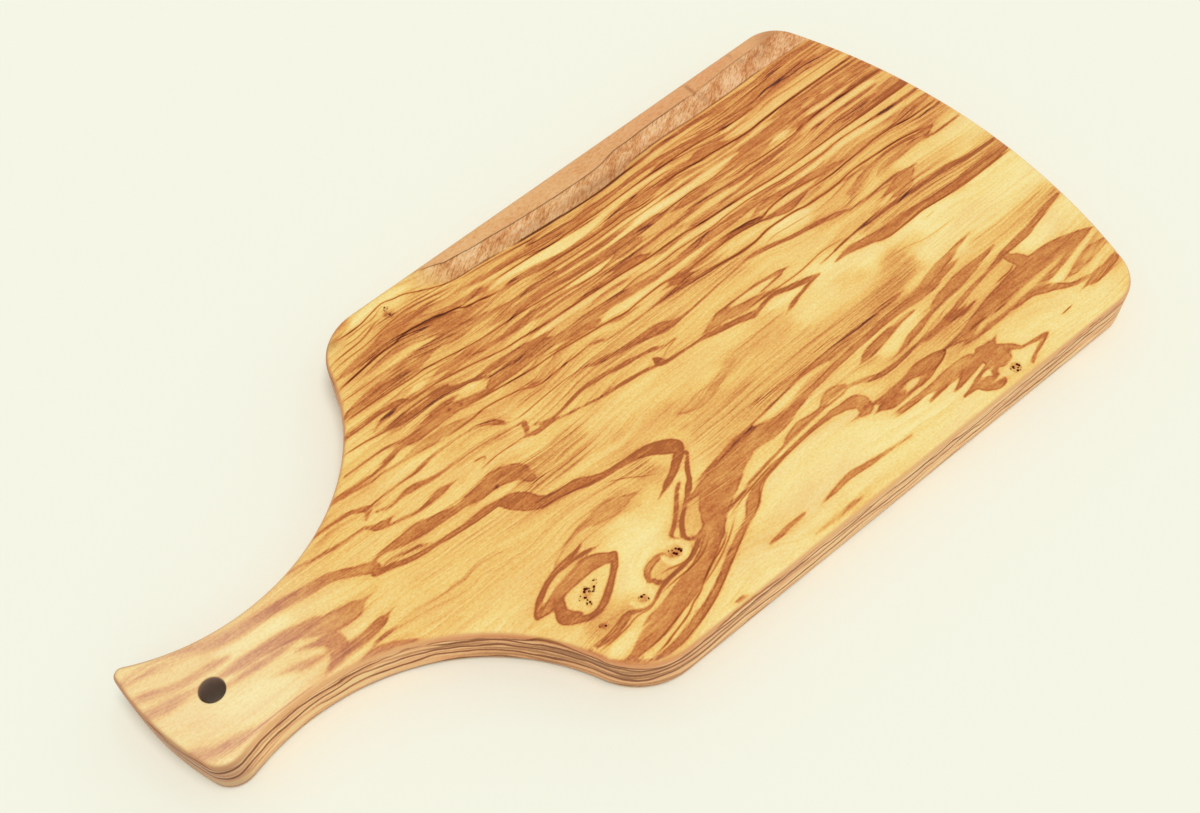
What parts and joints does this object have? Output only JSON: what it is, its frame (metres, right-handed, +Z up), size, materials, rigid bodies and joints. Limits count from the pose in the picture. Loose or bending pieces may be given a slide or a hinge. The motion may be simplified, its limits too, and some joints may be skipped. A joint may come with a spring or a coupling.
{
  "type": "paddle serving board",
  "caption": "Flat wooden paddle board for serving and cutting: wide body with a crowned far end, rounded shoulders, and a waisted flared handle with a hanging hole.",
  "frame": {"origin": "middle of the board's footprint, on the surface that it lies on", "axes": "+X from the handle to the crowned far end, +Y to the board's left side seen from the handle, +Z up out of the serving face"},
  "size_m": [0.4, 0.1999, 0.019],
  "materials": {
    "olive_wood": "sanded and oiled"
  },
  "bodies": {
    "root": {"olive_wood_board": "olive_wood"}
  },
  "joints": []
}
